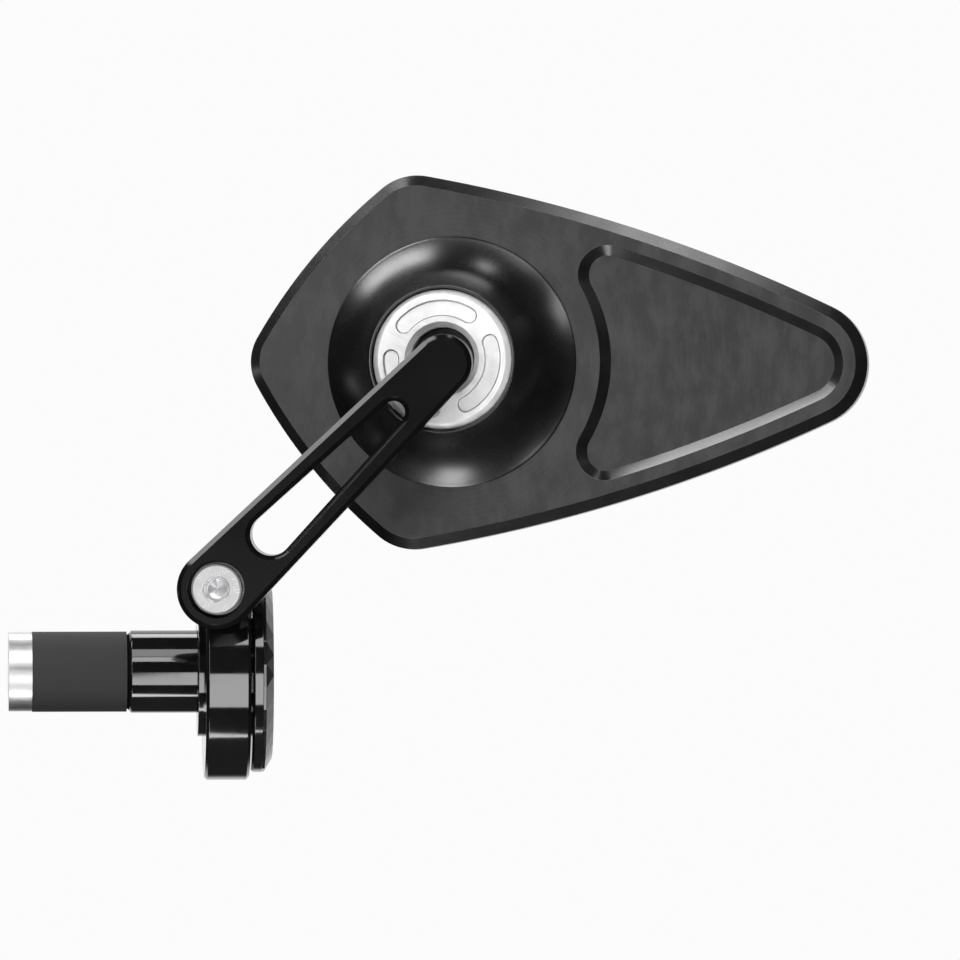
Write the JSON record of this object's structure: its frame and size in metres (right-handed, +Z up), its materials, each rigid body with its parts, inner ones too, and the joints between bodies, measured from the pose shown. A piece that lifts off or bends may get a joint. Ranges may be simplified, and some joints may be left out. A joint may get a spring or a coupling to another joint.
{
  "type": "bar-end motorcycle mirror",
  "caption": "Bar-end motorcycle mirror with a slotted arm, a clamp ring on a bar-end plug and a kite-shaped head on a ball joint.",
  "frame": {"origin": "centre of the plug's shank where the bar ends", "axes": "+X outwards along the bar, +Y towards the rider, +Z up"},
  "size_m": [0.1451, 0.0468, 0.1026],
  "materials": {
    "black_metal": "gloss",
    "satin_black_metal": "satin",
    "ring_aluminium": "satin",
    "plain_aluminium": "satin",
    "screw_steel": "polished",
    "black_steel": "satin",
    "dark_plastic": "matte",
    "seal_rubber": "matte",
    "adhesive": "matte",
    "mirror_glass": "mirror"
  },
  "bodies": {
    "bar_end": {"bar_end_plug": "black_metal", "end_cap": "black_metal", "cap_seal": "seal_rubber", "expander_screw": "screw_steel", "expander_washer": "screw_steel", "expander_sleeve": "seal_rubber", "expander_cone": "plain_aluminium"},
    "clamp": {"clamp_ring": "black_metal", "pivot_screw": "screw_steel", "head_washer": "screw_steel", "friction_washer": "dark_plastic"},
    "swing_arm": {"arm": "satin_black_metal", "ball_stud": "black_steel", "stud_set_screw": "black_steel"},
    "ball_cup": {"ball_liner": "dark_plastic"},
    "seat_pair": {"front_ball_seat": "dark_plastic", "rear_ball_seat": "dark_plastic", "seat_spring": "screw_steel"},
    "mirror_head": {"mirror_blade": "satin_black_metal", "retaining_ring": "ring_aluminium", "ring_seal": "seal_rubber", "mirror_pane": "mirror_glass", "pane_adhesive": "adhesive"}
  },
  "joints": [
    {"name": "clamp_turn", "type": "hinge", "parent": "bar_end", "child": "clamp", "pos_m": [0, 0, 0], "axis": [1, 0, 0], "continuous": true},
    {"name": "arm_swing", "type": "hinge", "parent": "clamp", "child": "swing_arm", "pos_m": [0.0049, 0, 0.0149], "axis": [0.0958, 0.9954, 0], "range_deg": [-45, 50]},
    {"name": "head_pan", "type": "hinge", "parent": "swing_arm", "child": "ball_cup", "pos_m": [0.04204, -0.01191, 0.05301], "axis": [0, 0, 1], "range_deg": [-12, 14]},
    {"name": "head_tilt", "type": "hinge", "parent": "ball_cup", "child": "seat_pair", "pos_m": [0.04204, -0.01191, 0.05301], "axis": [0.981, -0.1942, 0], "range_deg": [-7, 12]},
    {"name": "head_spin", "type": "hinge", "parent": "seat_pair", "child": "mirror_head", "pos_m": [0.04204, -0.01191, 0.05301], "axis": [-0.1937, -0.9784, 0.0715], "range_deg": [-75, 75]}
  ]
}
